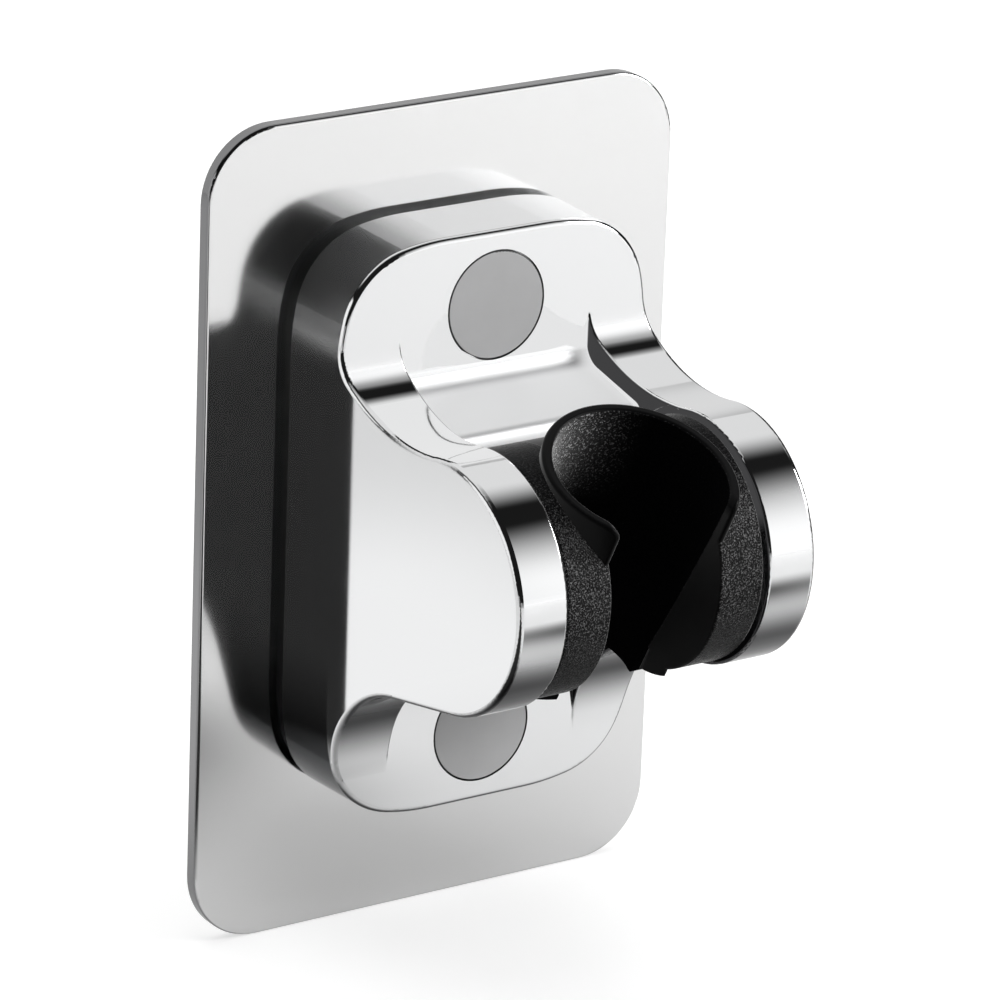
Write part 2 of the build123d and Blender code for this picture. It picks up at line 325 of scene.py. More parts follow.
def add_bump(graph: Graph, shader: Node, height: Socket, depth: float) -> None:
    """Feed a height into the shader's normal.

    Args:
        graph: the material's graph.
        shader: its Principled BSDF.
        height: a socket from 0 to 1.
        depth: how far 1 stands above 0, in metres.
    """
    bump = graph.add("ShaderNodeBump", None, Height=height, Distance=depth, Strength=1.0)
    graph.feed(shader.inputs["Normal"], bump.outputs[0])


@dataclass(frozen=True)
class Finish:
    """What every finish has.

    Attributes:
        slot: the record's slot, which names the material.
        colour: linear base colour.
        roughness: roughness of the plain surface.
        mirrored: whether polished neighbours show the piece.
        glow: strength of a painted glow that makes the surface look pale in its neighbours' reflections, or 0 for its
            true look.
    """

    slot: Slot
    colour: Colour
    roughness: float
    mirrored: bool = True
    glow: float = 0.0

    def material(self) -> bpy.types.Material:
        """Find the finish's material, and build it on the first call.

        Returns:
            The material, named after its slot.
        """
        name = f"{self.slot.value}_finish"
        found = bpy.data.materials.get(name)
        if found is None:
            found = bpy.data.materials.new(name)
            found.use_nodes = True
            graph = Graph(found.node_tree)
            shader = graph.add("ShaderNodeBsdfPrincipled", None, Roughness=self.roughness)
            shader.inputs["Base Color"].default_value = opaque(self.colour)
            place = graph.add("ShaderNodeTexCoord").outputs["Object"]
            self.detail(graph, shader, place)
            surface = self.painted_glow(graph, shader, place) if self.glow else shader.outputs[0]
            graph.add("ShaderNodeOutputMaterial", None, Surface=surface)
        return found

    def painted_glow(self, graph: Graph, shader: Node, place: Socket) -> Socket:
        """Paint a glow on the surface that only its neighbours' reflections see, so that it looks pale there.

        Args:
            graph: the material's graph.
            shader: its Principled BSDF.
            place: Object coordinates, in metres.

        Returns:
            The shader as the surface shows it.
        """
        # painted light: an emission on the surface that only reflected rays see
        mirrored = graph.add("ShaderNodeLightPath").outputs["Is Glossy Ray"]
        share = graph.math("MULTIPLY", mirrored, self.glowing(graph, place))
        pale = graph.add("ShaderNodeEmission", None, Strength=self.glow)
        blend = graph.add("ShaderNodeMixShader", None, Fac=share)
        graph.feed(blend.inputs[1], shader.outputs[0])
        graph.feed(blend.inputs[2], pale.outputs[0])
        return blend.outputs[0]

    def glowing(self, graph: Graph, place: Socket) -> object:
        """Where a finish's painted glow shows in its neighbours' reflections.

        Args:
            graph: the material's graph.
            place: Object coordinates, in metres.

        Returns:
            A mask, or 1 for everywhere.
        """
        return 1.0

    def detail(self, graph: Graph, shader: Node, place: Socket) -> None:
        """Add what the finish shows beyond colour and roughness.

        Args:
            graph: the material's graph.
            shader: its Principled BSDF.
            place: Object coordinates, in metres.
        """


@dataclass(frozen=True)
class PolishedMetal(Finish):
    """Chrome plate or polished steel: a mirror with faint haze and a slow swell in its reflections."""

    haze: float = 0.03
    haze_size: float = 0.03
    swell_size: float = 0.02
    swell_depth: float = 4e-6

    def detail(self, graph: Graph, shader: Node, place: Socket) -> None:
        """Add haze to the roughness and swell to the normal.

        Args:
            graph: the material's graph.
            shader: its Principled BSDF.
            place: Object coordinates, in metres.
        """
        shader.inputs["Metallic"].default_value = 1.0
        marks = Effect.HANDLING.place(graph, Vector=place, Size=self.haze_size)
        marks.inputs["Swell Size"].default_value = self.swell_size
        rough = graph.math("MULTIPLY_ADD", marks.outputs["Haze"], self.haze, self.roughness)
        graph.feed(shader.inputs["Roughness"], rough)
        add_bump(graph, shader, marks.outputs["Swell"], self.swell_depth)


@dataclass(frozen=True)
class RimmedSteel(PolishedMetal):
    """Polished sheet whose base colour is darker where the normal turns from the front."""

    rim_colour: Colour = (0.30, 0.30, 0.305)
    rim_tilt: Span = (0.95, 0.6)

    def detail(self, graph: Graph, shader: Node, place: Socket) -> None:
        """Darken the edges, which face away from the front.

        Args:
            graph: the material's graph.
            shader: its Principled BSDF.
            place: Object coordinates, in metres.
        """
        super().detail(graph, shader, place)
        facing = graph.math("ABSOLUTE", graph.parts(graph.normal())["Y"])
        rim = graph.ease(facing, *self.rim_tilt)
        graph.feed(shader.inputs["Base Color"], graph.tint(rim, opaque(self.colour), opaque(self.rim_colour)))


@dataclass(frozen=True)
class Site:
    """Where a point of the object lies and how its solid faces there, as sockets.

    Attributes:
        aside: distance from the middle plane, in metres.
        depth: distance in front of the wall, in metres.
        height: height above the origin, in metres.
        normal: the solid's own normal.
    """

    aside: Socket
    depth: Socket
    height: Socket
    normal: Socket

    @classmethod
    def read(cls, graph: Graph, place: Socket) -> Site:
        """Measure a point.

        Args:
            graph: the material's graph.
            place: Object coordinates, in metres.

        Returns:
            The point's site.
        """
        axes = graph.parts(place)
        aside = graph.math("ABSOLUTE", axes["X"])
        return cls(aside, graph.math("MULTIPLY", axes["Y"], -1.0), axes["Z"], graph.normal())


@dataclass(frozen=True)
class HousingChrome(PolishedMetal):
    """Chrome that is satin on the shelf and the top wall, with painted shade in its colour on its hidden sides, and
    eased over the ears' necks.

    A span says where a mask is 0 and where it is 1. A tilt is a span of one part of the normal.

    Attributes:
        face_depth: from the wall to the face.
        edge: width of the border of a mask.
        brim: depths between the side walls and what lies in front of them.
        shelf_half_width: half of the shelf between the ears.
        satin: roughness of the shelf.
        top: heights at which the side wall turns into the top wall.
        top_satin: roughness of the top wall.
        flank_end: from the middle plane to behind the ears' inner walls.
        flank_tilt: sideways tilt of the inner walls.
        flank_shade: painted shade in the chrome's colour on the inner walls and on edges that face right.
        under_tilt: rise of the undersides.
        under_shade: painted shade in the chrome's colour on the undersides.
        low: heights over which painted shade darkens the side walls.
        low_shade: painted shade at the low end of the side walls.
        right_tilt: sideways tilt at which edges that face right begin.
        side_tilt: sideways tilt at which they end in an outer wall.
        outer_wall: from the middle plane to inside the ears' outer walls.
        glow_low: heights at which the glow begins.
        glow_high: heights at which the glow ends.
        neck_low: height above which the necks lie.
        neck_tilt: sideways tilt of the necks' tops.
        neck_rear: depths at which the necks begin.
        neck_front: depths at which the easing ends.
        bend_end: depth at which the small bend at the face ends.
        bend_turn: how far the normal turns over that bend.
        neck_turn: the normal's turn just past the bend.
        neck_rate: how fast it turns from there, in radians per metre.
    """

    # painted glow: the face emits light that only its neighbours' reflections show
    glow: float = 0.84
    face_depth: float = 16.55 * MILLIMETRE
    edge: float = 0.3 * MILLIMETRE
    brim: Span = (15.65 * MILLIMETRE, 15.95 * MILLIMETRE)
    shelf_half_width: float = 15.3 * MILLIMETRE
    satin: float = 0.42
    top: Span = (26.0 * MILLIMETRE, 36.0 * MILLIMETRE)
    top_satin: float = 0.25
    flank_end: float = 17.2 * MILLIMETRE
    flank_tilt: Span = (0.6, 0.85)
    flank_shade: Colour = (0.05, 0.05, 0.052)
    under_tilt: Span = (-0.12, -0.58)
    under_shade: Colour = (0.055, 0.055, 0.057)
    low: Span = (-12.0 * MILLIMETRE, -30.0 * MILLIMETRE)
    low_shade: Colour = (0.085, 0.088, 0.092)
    right_tilt: Span = (0.2, 0.45)
    side_tilt: Span = (0.97, 0.88)
    outer_wall: float = 24.4 * MILLIMETRE
    glow_low: Span = (-8.0 * MILLIMETRE, -4.0 * MILLIMETRE)
    glow_high: Span = (48.0 * MILLIMETRE, 45.0 * MILLIMETRE)
    neck_low: float = 20.0 * MILLIMETRE
    neck_tilt: Span = (0.5, 0.05)
    neck_rear: Span = (16.52 * MILLIMETRE, 16.55 * MILLIMETRE)
    neck_front: Span = (23.4 * MILLIMETRE, 22.2 * MILLIMETRE)
    bend_end: float = 19.8 * MILLIMETRE
    bend_turn: float = math.radians(35)
    neck_turn: float = math.radians(38)
    neck_rate: float = math.radians(8) / MILLIMETRE

    def detail(self, graph: Graph, shader: Node, place: Socket) -> None:
        """Lay out the satin, the painted shade and the necks.

        Args:
            graph: the material's graph.
            shader: its Principled BSDF.
            place: Object coordinates, in metres.
        """
        super().detail(graph, shader, place)
        site = Site.read(graph, place)
        self.dull(graph, shader, site)
        self.shade(graph, shader, site)
        bump = shader.inputs["Normal"].links[0].from_node
        graph.feed(bump.inputs["Normal"], self.eased_normal(graph, site))

    def dull(self, graph: Graph, shader: Node, site: Site) -> None:
        """Blend the mirror into the satin of the shelf and of the top wall.

        Args:
            graph: the material's graph.
            shader: its Principled BSDF.
            site: where the point lies.
        """
        middle = graph.ease(site.aside, self.shelf_half_width + self.edge, self.shelf_half_width)
        ahead = graph.ease(site.depth, self.face_depth, self.face_depth + self.edge)
        behind = graph.flip(graph.ease(site.depth, *self.brim))
        shelf = graph.product(middle, ahead)
        top = graph.product(graph.ease(site.height, *self.top), behind)
        mirror = shader.inputs["Roughness"].links[0].from_socket
        rough = graph.mix(top, graph.mix(shelf, mirror, self.satin), self.top_satin)
        graph.feed(shader.inputs["Roughness"], rough)

    def shade(self, graph: Graph, shader: Node, site: Site) -> None:
        """Paint shade into the chrome's colour on the inner walls, the undersides, the low side walls and the edges
        that face right.

        Args:
            graph: the material's graph.
            shader: its Principled BSDF.
            site: where the point lies.
        """
        slant = graph.parts(site.normal)
        across = graph.math("ABSOLUTE", slant["X"])
        ahead = graph.ease(site.depth, self.face_depth, self.face_depth + self.edge)
        brim = graph.ease(site.depth, *self.brim)
        inside = graph.ease(site.aside, self.flank_end + self.edge, self.flank_end)
        outward = graph.ease(slant["X"], *self.right_tilt)
        rounded = graph.ease(slant["X"], *self.side_tilt)
        # painted shade: the chrome's base colour darkened on these hidden sides
        shades = (
            (graph.product(inside, graph.ease(across, *self.flank_tilt), ahead), self.flank_shade),
            (graph.product(graph.ease(slant["Z"], *self.under_tilt), brim), self.under_shade),
            (graph.product(graph.ease(site.height, *self.low), graph.flip(brim)), self.low_shade),
            (graph.product(outward, rounded, brim), self.flank_shade),
        )
        colour: object = opaque(self.colour)
        for mask, shade in shades:
            colour = graph.tint(mask, colour, opaque(shade))
        graph.feed(shader.inputs["Base Color"], colour)

    def glowing(self, graph: Graph, place: Socket) -> Socket:
        """Where the painted glow lies: the face and what stands in front of it, without the ears' outer walls.

        Args:
            graph: the material's graph.
            place: Object coordinates, in metres.

        Returns:
            The mask.
        """
        site = Site.read(graph, place)
        front = graph.ease(site.depth, self.face_depth - self.edge, self.face_depth)
        within = graph.ease(site.aside, self.outer_wall + self.edge, self.outer_wall)
        high = graph.ease(site.height, *self.glow_high)
        low = graph.ease(site.height, *self.glow_low)
        return graph.product(front, within, high, low)

    def eased_normal(self, graph: Graph, site: Site) -> Socket:
        """Turn the normal evenly over the small bend between the face and an ear's neck.

        Args:
            graph: the material's graph.
            site: where the point lies.

        Returns:
            The normal's socket.
        """
        across = graph.math("ABSOLUTE", graph.parts(site.normal)["X"])
        beside = graph.ease(site.aside, self.shelf_half_width, self.shelf_half_width + self.edge)
        above = graph.ease(site.height, self.neck_low, self.neck_low + self.edge)
        near = graph.product(graph.ease(site.depth, *self.neck_front), graph.ease(site.depth, *self.neck_rear))
        neck = graph.product(above, graph.ease(across, *self.neck_tilt), near, beside)

        bend = graph.product(graph.ease(site.depth, self.face_depth, self.bend_end), self.bend_turn)
        run = graph.math("SUBTRACT", site.depth, self.bend_end)
        slope = graph.math("MULTIPLY_ADD", run, self.neck_rate, self.neck_turn)
        past = graph.ease(site.depth, self.bend_end - self.edge, self.bend_end + self.edge)
        turn = graph.mix(past, bend, slope)
        forward = graph.product(graph.math("COSINE", turn), -1.0)
        eased = graph.add("ShaderNodeCombineXYZ", None, Y=forward, Z=graph.math("SINE", turn)).outputs[0]
        blend = graph.add("ShaderNodeMix", {"data_type": "VECTOR"})
        for socket, value in zip((blend.inputs[0], blend.inputs[4], blend.inputs[5]), (neck, site.normal, eased)):
            graph.feed(socket, value)
        return graph.add("ShaderNodeVectorMath", {"operation": "NORMALIZE"}, Vector=blend.outputs[1]).outputs[0]


@dataclass(frozen=True)
class GrainedPlastic(Finish):
    """Moulded plastic, rubber or foam with a pebbled surface.

    Attributes:
        pitch: size of a pebble, in metres.
        depth: height of a pebble, in metres.
        unevenness: how much the pebbles differ.
        mottle: how much the roughness drifts.
        shade: how much the colour drifts.
        shine: strength of the reflections.
        rim: brightness of the sides beside the front's, a painted shade, or 1 where there is none.
        rim_tilt: how far the normal has turned from the front where the sides begin and where they are full.
        front_tilt: the same for the front, which takes the painted glow.
    """

    pitch: float = 0.3 * MILLIMETRE
    depth: float = 0.01 * MILLIMETRE
    unevenness: float = 0.5
    mottle: float = 0.1
    shade: float = 0.1
    shine: float = 0.5
    rim: float = 1.0
    rim_tilt: Span = (0.97, 0.85)
    front_tilt: Span = (-0.9, -0.97)

    def detail(self, graph: Graph, shader: Node, place: Socket) -> None:
        """Add grain to the normal, a slow mottle to colour and roughness, and painted shade on the sides.

        Args:
            graph: the material's graph.
            shader: its Principled BSDF.
            place: Object coordinates, in metres.
        """
        shader.inputs["Specular IOR Level"].default_value = self.shine
        grain = Effect.GRAIN.place(graph, Vector=place, Pitch=self.pitch, Unevenness=self.unevenness)
        mottle = graph.math("SUBTRACT", grain.outputs["Mottle"], 0.5)
        graph.feed(shader.inputs["Roughness"], graph.math("MULTIPLY_ADD", mottle, self.mottle, self.roughness))
        dark, light = opaque(self.colour, 1.0 - self.shade), opaque(self.colour, 1.0 + self.shade)
        colour = graph.tint(grain.outputs["Mottle"], dark, light)
        # painted shade: the sides darker than the front
        if self.rim < 1.0:
            facing = graph.math("ABSOLUTE", graph.parts(graph.normal())["Y"])
            colour = graph.tint(graph.ease(facing, *self.rim_tilt), colour, opaque(self.colour, self.rim))
        graph.feed(shader.inputs["Base Color"], colour)
        add_bump(graph, shader, grain.outputs["Height"], self.depth)

    def glowing(self, graph: Graph, place: Socket) -> Socket:
        """The side that faces the front, which takes the painted glow."""
        return graph.ease(graph.parts(graph.normal())["Y"], *self.front_tilt)


@dataclass(frozen=True)
class CradlePlastic(Finish):
    """Black moulding: pebbled barrel, coarser bore, and a smoother lip and slot, with painted glints, painted light on
    the bore's rear and painted shade on the barrel's top and underside.

    Lengths are millimetres in the moulding's own upright frame, apart from hinge and the depths of the grain.

    Attributes:
        hinge: the hinge's middle, in metres.
        lean: how far the socket leans forward.
        barrel_end: distances from the hinge between the lip and the barrel.
        slot_half_width: half of the hose slot.
        slot_edge: width of the border beside the slot.
        socket_offset: from the hinge to the socket's axis.
        bore_radius: the socket's radius at the hinge's height.
        bore_slope: how much the radius grows with height.
        bore_edge: distances past the bore's wall between the barrel and the bore.
        barrel_pitch: size of a pebble on the barrel.
        barrel_unevenness: how much those pebbles differ.
        bore_pitch: size of a pebble in the bore.
        bore_unevenness: how much those pebbles differ.
        barrel_depth: height of a pebble on the barrel, in metres.
        bore_depth: height of a pebble in the bore, in metres.
        lip_depth: height of the lip's faint grain, in metres.
        lip_roughness: roughness of lip and slot.
        mottle: how much the roughness drifts.
        painted_glint: colour of the painted glints on the pebbles' tips.
        speckle: share of that colour on the barrel.
        spark_power: how few tips in the bore take a painted glint.
        barrel_shine: strength of the barrel's reflections.
        bore_shine: strength of the bore's reflections.
        lip_shine: strength of the lip's reflections.
        lit_height: heights over which painted light brightens the bore's rear.
        lit_side: places from right to left over which it does.
        top_tilt: rise of the barrel's top, where painted shade sets in.
        top_loss: how much painted shade takes from the glints and shine on the top.
        under_tilt: rise of the barrel's underside.
        under_share: what painted shade leaves of the glints and shine there.
    """

    hinge: Point = (0.0, 0.0, 0.0)
    lean: float = 0.0
    barrel_end: Span = (17.5, 17.36)
    slot_half_width: float = 8.95
    slot_edge: float = 0.3
    socket_offset: float = 3.0
    bore_radius: float = 10.82
    bore_slope: float = 0.0857
    bore_edge: Span = (0.12, 0.02)
    barrel_pitch: float = 0.23
    barrel_unevenness: float = 0.45
    bore_pitch: float = 0.28
    bore_unevenness: float = 0.35
    barrel_depth: float = 0.08 * MILLIMETRE
    bore_depth: float = 0.12 * MILLIMETRE
    lip_depth: float = 0.002 * MILLIMETRE
    lip_roughness: float = 0.34
    mottle: float = 0.1
    painted_glint: Colour = (0.62, 0.62, 0.625)
    speckle: float = 0.28
    spark_power: float = 2.0
    barrel_shine: float = 0.14
    bore_shine: float = 0.14
    lip_shine: float = 0.06
    lit_height: Span = (2.0, 15.0)
    lit_side: Span = (8.0, -5.0)
    top_tilt: Span = (0.35, 0.95)
    top_loss: float = 0.88
    under_tilt: Span = (-0.75, 0.05)
    under_share: float = 0.12

    def detail(self, graph: Graph, shader: Node, place: Socket) -> None:
        """Lay the three textures out in the moulding's own upright frame, in millimetres.

        Args:
            graph: the material's graph.
            shader: its Principled BSDF.
            place: Object coordinates, in metres.
        """
        upright = graph.add("ShaderNodeMapping", {"vector_type": "TEXTURE"}, Vector=place)
        upright.inputs["Location"].default_value = self.hinge
        upright.inputs["Rotation"].default_value = (self.lean, 0.0, 0.0)
        upright.inputs["Scale"].default_value = (MILLIMETRE, MILLIMETRE, MILLIMETRE)
        local = upright.outputs[0]
        barrel, bore = self.zones(graph, local)
        grained = graph.math("MAXIMUM", bore, barrel)
        fine = Effect.GRAIN.place(graph, Vector=local, Pitch=self.barrel_pitch, Unevenness=self.barrel_unevenness)
        coarse = Effect.GRAIN.place(graph, Vector=local, Pitch=self.bore_pitch, Unevenness=self.bore_unevenness)

        deep = graph.mix(bore, graph.mix(barrel, self.lip_depth, self.barrel_depth), self.bore_depth)
        height = graph.mix(bore, fine.outputs["Height"], coarse.outputs["Height"])
        raised = graph.product(height, graph.math("DIVIDE", deep, self.bore_depth))
        add_bump(graph, shader, raised, self.bore_depth)

        rough = graph.mix(grained, self.lip_roughness, self.roughness)
        drift = graph.math("MULTIPLY_ADD", fine.outputs["Mottle"], self.mottle, -0.5 * self.mottle)
        graph.feed(shader.inputs["Roughness"], graph.math("ADD", rough, drift))

        # painted light and shade: the lit mask brightens the bore's rear, the shading mask dims the barrel's top and
        # underside
        axes = graph.parts(local)
        lit = graph.product(graph.ease(axes["Z"], *self.lit_height), graph.ease(axes["X"], *self.lit_side))
        barrel_shading = self.barrel_shading(graph)
        outside = graph.mix(barrel, self.lip_shine, graph.product(barrel_shading, self.barrel_shine))
        shine = shader.inputs["Specular IOR Level"]
        shine.default_value = self.barrel_shine
        graph.feed(shine, graph.mix(bore, outside, graph.product(lit, self.bore_shine)))

        # painted highlight: glints laid into the base colour
        speckle = graph.product(fine.outputs["Glint"], barrel_shading, self.speckle)
        spark = graph.product(graph.math("POWER", coarse.outputs["Glint"], self.spark_power), lit)
        glint = graph.product(graph.mix(bore, speckle, spark), grained)
        graph.feed(shader.inputs["Base Color"], graph.tint(glint, opaque(self.colour), opaque(self.painted_glint)))

    def zones(self, graph: Graph, local: Socket) -> tuple[Socket, Socket]:
        """Tell the barrel and the bore from the lip and the slot.

        Args:
            graph: the material's graph.
            local: place in the upright frame, in millimetres.

        Returns:
            The masks of the barrel and of the bore.
        """
        axes = graph.parts(local)
        forward = graph.math("ADD", axes["Y"], self.socket_offset)
        wall = graph.math("MULTIPLY_ADD", axes["Z"], self.bore_slope, self.bore_radius)
        past_wall = graph.math("SUBTRACT", self.length(graph, axes["X"], forward), wall)
        bore = graph.ease(past_wall, *self.bore_edge)
        aside = graph.math("ABSOLUTE", axes["X"])
        beside_slot = graph.ease(aside, self.slot_half_width, self.slot_half_width + self.slot_edge)
        on_barrel = graph.ease(self.length(graph, axes["Y"], axes["Z"]), *self.barrel_end)
        return graph.product(beside_slot, on_barrel, graph.flip(bore)), bore

    def barrel_shading(self, graph: Graph) -> Socket:
        """How much of the barrel's painted glints and shine show, with painted shade making it less on its top and
        little on its underside.

        Args:
            graph: the material's graph.

        Returns:
            The mask.
        """
        rise = graph.parts(graph.normal())["Z"]
        top = graph.flip(graph.product(graph.ease(rise, *self.top_tilt), self.top_loss))
        return graph.product(top, graph.mix(graph.ease(rise, *self.under_tilt), self.under_share, 1.0))

    @staticmethod
    def length(graph: Graph, first: Socket, second: Socket) -> Socket:
        """The length of a vector of two parts, as a socket."""
        square = graph.math("MULTIPLY", second, second)
        return graph.math("SQRT", graph.math("MULTIPLY_ADD", first, first, square))


FOAM = GrainedPlastic(Slot.FOAM, (0.62, 0.62, 0.60), 0.9, pitch=0.5 * MILLIMETRE, depth=0.08 * MILLIMETRE)
STEEL_PLATE = RimmedSteel(Slot.PLATE, (0.90, 0.90, 0.90), 0.10, haze=0.03, swell_depth=2e-6)
FASTENER = PolishedMetal(Slot.FASTENER, (0.55, 0.55, 0.54), 0.3, haze=0.12, haze_size=0.004, swell_depth=1e-6)
GASKET = GrainedPlastic(Slot.GASKET, (0.012, 0.012, 0.012), 0.3, depth=0.002 * MILLIMETRE, shine=1.0)
CHROME = HousingChrome(Slot.CHROME, (0.93, 0.935, 0.94), 0.05, haze=0.03, swell_depth=3e-6)
# the caps carry a painted shade on their sides and a painted glow on their fronts
CAP = GrainedPlastic(Slot.CAP, (0.54, 0.54, 0.545), 0.5, glow=0.84, pitch=0.25 * MILLIMETRE,
                     depth=0.004 * MILLIMETRE, shade=0.04, rim=0.06)
DISC = GrainedPlastic(Slot.DISC, (0.02, 0.02, 0.02), 0.7, mirrored=False)


@dataclass
class SubAssembly:
    """Pieces of one body that are dressed together."""

    nodes: dict[str, bpy.types.Object]
    body: Body = Body.BRACKET
    finishes: dict[str, Finish] = field(default_factory=dict)

    def dress(self) -> None:
        """Give each piece its finish."""
        for name, finish in self.finishes.items():
            piece = self.nodes[name]
            piece.data.materials.clear()
            piece.data.materials.append(finish.material())
            piece.visible_glossy = finish.mirrored
            LOG.info("%s on %s: %s", name, self.body.value, finish.slot.value)


@dataclass
class WallPlate(SubAssembly):
    """The steel plate and the foam pad that sticks it to the wall."""

    finishes: dict[str, Finish] = field(
        default_factory=lambda: {"adhesive_pad": FOAM, "back_plate": STEEL_PLATE}
    )


@dataclass
class Fastenings(SubAssembly):
    """Studs, washers and nuts under the caps."""

    finishes: dict[str, Finish] = field(
        default_factory=lambda: {
            "plate_studs": FASTENER,
            "stud_washers": FASTENER,
            "stud_spring_washers": FASTENER,
            "stud_nuts": FASTENER,
        }
    )


@dataclass
class Housing(SubAssembly):
    """The chromed moulding with its gasket and caps."""

    finishes: dict[str, Finish] = field(
        default_factory=lambda: {"base_gasket": GASKET, "housing": CHROME, "upper_cap": CAP, "lower_cap": CAP}
    )


@dataclass
class Cradle(SubAssembly):
    """The tilting cradle and its friction discs."""

    body: Body = Body.CRADLE
    hinge: Point = (0.0, 0.0, 0.0)
    lean: float = math.radians(24)

    def __post_init__(self) -> None:
        """Place the moulding's textures by the hinge."""
        moulding = CradlePlastic(
            Slot.CRADLE, (0.003, 0.003, 0.0032), 0.27, mirrored=False, hinge=self.hinge, lean=self.lean
        )
        self.finishes = {"cradle": moulding, "left_friction_disc": DISC, "right_friction_disc": DISC}


class Role(Enum):
    """What a studio sheet does."""

    LIGHT = "gives light and shows in reflections"
    FLAG = "only shows in reflections"


@dataclass
class Panel:
    """A sheet of the studio with soft edges, which the camera doesn't see.

    Attributes:
        name: the sheet's name.
        middle: its middle.
        across: from its middle to its right side.
        upward: from its middle to its top.
        radiance: how bright it is.
        role: what it does.
        soft_left: share of its width over which it fades on the left, and so on for the other sides.
    """

    name: str
    middle: Point
    across: Point
    upward: Point
    radiance: float
    role: Role = Role.LIGHT
    soft_left: float = 0.2
    soft_right: float = 0.2
    soft_low: float = 0.2
    soft_high: float = 0.2

    def build(self) -> None:
        """Model the sheet from a plane, with its place in its mesh."""
        bpy.ops.object.select_all(action="DESELECT")
        bpy.ops.mesh.primitive_plane_add(size=2.0)
        sheet = bpy.context.object
        sheet.name = self.name
        side, rise = Vector(self.across), Vector(self.upward)
        turn = Matrix((side, rise, side.cross(rise).normalized())).transposed().to_4x4()
        sheet.data.transform(Matrix.Translation(self.middle) @ turn)
        sheet.data.materials.append(self.glow())
        sheet.visible_camera = False
        sheet.visible_shadow = False
        sheet.visible_diffuse = self.role is Role.LIGHT
        LOG.info("panel %s", self.name)

    def glow(self) -> bpy.types.Material:
        """Light that fades into nothing toward each side of the sheet.

        Returns:
            The material.
        """
        material = bpy.data.materials.new(f"{self.name}_glow")
        material.use_nodes = True
        graph = Graph(material.node_tree)
        axes = graph.parts(graph.add("ShaderNodeTexCoord").outputs["UV"])
        cover: object = 1.0
        for axis, low, high in (("X", self.soft_left, self.soft_right), ("Y", self.soft_low, self.soft_high)):
            start = graph.ease(axes[axis], 0.0, low)
            end = graph.ease(graph.flip(axes[axis]), 0.0, high)
            cover = graph.product(cover, start, end)
        light = graph.add("ShaderNodeEmission", None, Strength=self.radiance)
        clear = graph.add("ShaderNodeBsdfTransparent")
        blend = graph.add("ShaderNodeMixShader", None, Fac=cover)
        graph.feed(blend.inputs[1], clear.outputs[0])
        graph.feed(blend.inputs[2], light.outputs[0])
        graph.add("ShaderNodeOutputMaterial", None, Surface=blend.outputs[0])
        return material


@dataclass
class Lamp:
    """A square area lamp aimed at the object."""

    name: str
    place: Point
    size: float
    power: float
    mirrored: bool = False

    def build(self, target: Point) -> None:
        """Hang the lamp.

        Args:
            target: the point it is aimed at.
        """
        data = bpy.data.lights.new(self.name, "AREA")
        data.size = self.size
        data.energy = self.power
        holder = bpy.data.objects.new(self.name, data)
        bpy.context.scene.collection.objects.link(holder)
        aim = Vector(target) - Vector(self.place)
        turn = aim.to_track_quat("-Z", "Y").to_matrix().to_4x4()
        holder.matrix_world = Matrix.Translation(self.place) @ turn
        holder.visible_camera = False
        holder.visible_glossy = self.mirrored
        LOG.info("lamp %s", self.name)


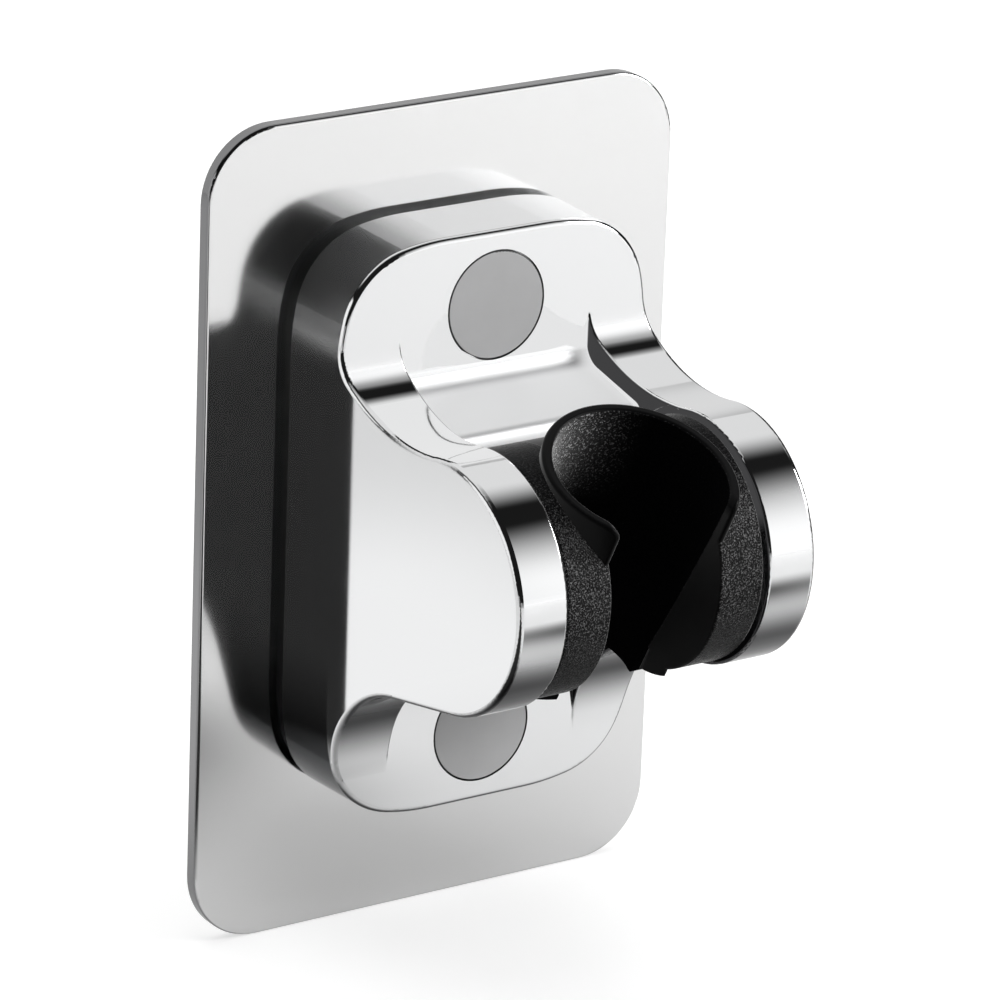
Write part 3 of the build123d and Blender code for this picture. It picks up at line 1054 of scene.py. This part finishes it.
@dataclass
class Studio:
    """White floor, soft panels, lamps and the camera.

    Attributes:
        floor_height: the floor's height, at the plate's foot.
        floor_reach: length of the floor's sides.
        floor_colour: the floor's own colour.
        floor_lift: light added to the floor for the camera.
        mirror_lift: light added to the floor in reflections.
        sheet_gap: from the floor to the sheets that lie on it.
        layer_gap: from one such sheet down to one that it overlaps.
        room_level: light of the room on the object and in reflections.
        backdrop_level: what the camera sees of the room.
        target: the point that the lamps are aimed at.
        lens: focal length, in millimetres.
        sensor: width of the sensor, in millimetres.
        camera_place: where the camera stands.
        camera_right: the picture's right.
        camera_up: the picture's top.
        camera_back: against the view.
    """

    floor_height: float
    floor_reach: float = 6.0
    floor_colour: Colour = (0.50, 0.50, 0.50)
    floor_lift: float = 0.62
    mirror_lift: float = 0.20
    sheet_gap: float = 1.0 * MILLIMETRE
    layer_gap: float = 0.5 * MILLIMETRE
    room_level: float = 0.012
    backdrop_level: float = 1.0
    target: Point = (0.0, -0.03, 0.0)
    lens: float = 230.616
    sensor: float = 36.0
    camera_place: Point = (-0.47433, -0.71058, 0.30998)
    camera_right: Point = (0.83121752, -0.5548319, 0.03519924)
    camera_up: Point = (0.16173143, 0.30190118, 0.93952042)
    camera_back: Point = (-0.5319026, -0.77525301, 0.34067931)

    def build(self) -> None:
        """Set up world, floor, panels, lamps and camera."""
        bpy.context.scene.view_settings.view_transform = "Standard"
        self.build_world()
        self.build_floor()
        for panel in self.panels():
            panel.build()
        for lamp in self.lamps():
            lamp.build(self.target)
        self.build_camera()

    def panels(self) -> list[Panel]:
        """The sheets that the chrome mirrors.

        Returns:
            Key sheet on the right with its sheen on the floor, white wall behind, ceiling, left sheet, two dark strips
            toward the camera, a dark patch in front of the foot that paints the object's shadow into reflections, and
            a light one on the left.
        """
        low = self.floor_height + self.sheet_gap
        lower = low - self.layer_gap
        return [
            Panel("key_sheet", (0.48, -0.565, 0.41), (0.25, 0.305, 0.0), (0.0, 0.0, 0.49), 1.08,
                  soft_left=0.36, soft_low=0.02, soft_high=0.82),
            Panel("key_floor", (0.43, -0.47, low), (0.30, 0.334, 0.0), (0.186, -0.167, 0.0), 1.0, Role.FLAG,
                  soft_low=0.8, soft_high=0.02),
            Panel("back_wall", (0.0, 0.95, 0.42), (1.2, 0.0, 0.0), (0.0, 0.0, 0.50), 0.72,
                  soft_low=0.02, soft_high=0.1),
            Panel("ceiling_sheet", (0.20, 0.38, 0.80), (1.1, 0.0, 0.0), (0.0, 0.55, 0.0), 0.75,
                  soft_low=0.35, soft_high=0.05),
            Panel("left_sheet", (-0.80, 0.10, 0.22), (-0.10, -0.45, 0.0), (0.0, 0.0, 0.30), 0.9,
                  soft_left=0.1, soft_low=0.02, soft_high=0.3),
            Panel("front_flag", (-0.2289, -0.3157, low), (0.0659, -0.0453, 0.0), (-0.2038, -0.2966, 0.0), 0.024,
                  Role.FLAG, soft_left=0.25, soft_right=0.25, soft_low=0.06, soft_high=0.1),
            Panel("far_flag", (-1.1012, -1.4266, lower), (0.1813, -0.1245, 0.0), (-0.6792, -0.9888, 0.0), 0.024,
                  Role.FLAG, soft_low=0.03, soft_high=0.02),
            # painted shadow: a dark sheet on the floor in front of the foot that only reflections show
            Panel("painted_floor_shadow", (0.07, -0.145, low), (0.075, 0.0, 0.0), (0.0, 0.065, 0.0), 0.03, Role.FLAG,
                  soft_left=0.5, soft_right=0.5, soft_low=0.5, soft_high=0.5),
            Panel("left_floor", (-0.10, 0.08, low), (0.09, 0.0, 0.0), (0.0, 0.09, 0.0), 0.92, Role.FLAG,
                  soft_left=0.4, soft_right=0.4, soft_low=0.4, soft_high=0.4),
        ]

    def lamps(self) -> list[Lamp]:
        """The lamps that light the object and the floor.

        Returns:
            A key lamp in front of the key sheet and a wide lamp overhead.
        """
        return [
            Lamp("key_lamp", (0.77, -0.43, 0.39), 0.40, 7.5, mirrored=True),
            Lamp("top_lamp", (0.0, -0.05, 1.1), 1.0, 10.0),
        ]

    def build_world(self) -> None:
        """A dim room for light and reflections that shows white behind the object."""
        world = bpy.data.worlds.new("studio_room")
        bpy.context.scene.world = world
        world.use_nodes = True
        graph = Graph(world.node_tree)
        seen = graph.add("ShaderNodeLightPath").outputs["Is Camera Ray"]
        level = graph.mix(seen, self.room_level, self.backdrop_level)
        room = graph.add("ShaderNodeBackground", None, Strength=level)
        graph.add("ShaderNodeOutputWorld", None, Surface=room.outputs[0])

    def build_floor(self) -> None:
        """A wide white floor that keeps the object's shadow."""
        bpy.ops.object.select_all(action="DESELECT")
        bpy.ops.mesh.primitive_plane_add(size=self.floor_reach)
        floor = bpy.context.object
        floor.name = "studio_floor"
        floor.data.transform(Matrix.Translation((0.0, 0.0, self.floor_height)))
        material = bpy.data.materials.new("white_floor")
        material.use_nodes = True
        graph = Graph(material.node_tree)
        paper = graph.add("ShaderNodeBsdfDiffuse", None, Color=opaque(self.floor_colour))
        path = graph.add("ShaderNodeLightPath").outputs
        mirrored = graph.math("MULTIPLY", path["Is Glossy Ray"], self.mirror_lift)
        lift = graph.math("MULTIPLY_ADD", path["Is Camera Ray"], self.floor_lift, mirrored)
        glow = graph.add("ShaderNodeEmission", None, Strength=lift)
        both = graph.add("ShaderNodeAddShader")
        graph.feed(both.inputs[0], paper.outputs[0])
        graph.feed(both.inputs[1], glow.outputs[0])
        graph.add("ShaderNodeOutputMaterial", None, Surface=both.outputs[0])
        floor.data.materials.append(material)

    def build_camera(self) -> None:
        """A long lens from the front left, a little above."""
        camera = bpy.data.cameras.new("photo_camera")
        camera.lens = self.lens
        camera.sensor_width = self.sensor
        holder = bpy.data.objects.new("photo_camera", camera)
        bpy.context.scene.collection.objects.link(holder)
        turn = Matrix((self.camera_right, self.camera_up, self.camera_back)).transposed().to_4x4()
        holder.matrix_world = Matrix.Translation(self.camera_place) @ turn
        bpy.context.scene.camera = holder


def main() -> None:
    """Load the solids, dress them and set up the studio."""
    logging.basicConfig(level=logging.INFO, format="%(message)s")
    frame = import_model()
    nodes = frame["nodes"]
    hinge = next(joint for joint in frame["joints"] if joint["name"] == "cradle_tilt")
    WallPlate(nodes).dress()
    Fastenings(nodes).dress()
    Housing(nodes).dress()
    Cradle(nodes, hinge=tuple(hinge["pos_m"])).dress()
    Studio(floor_height=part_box("back_plate")[0].z).build()


if __name__ == "__main__":
    main()
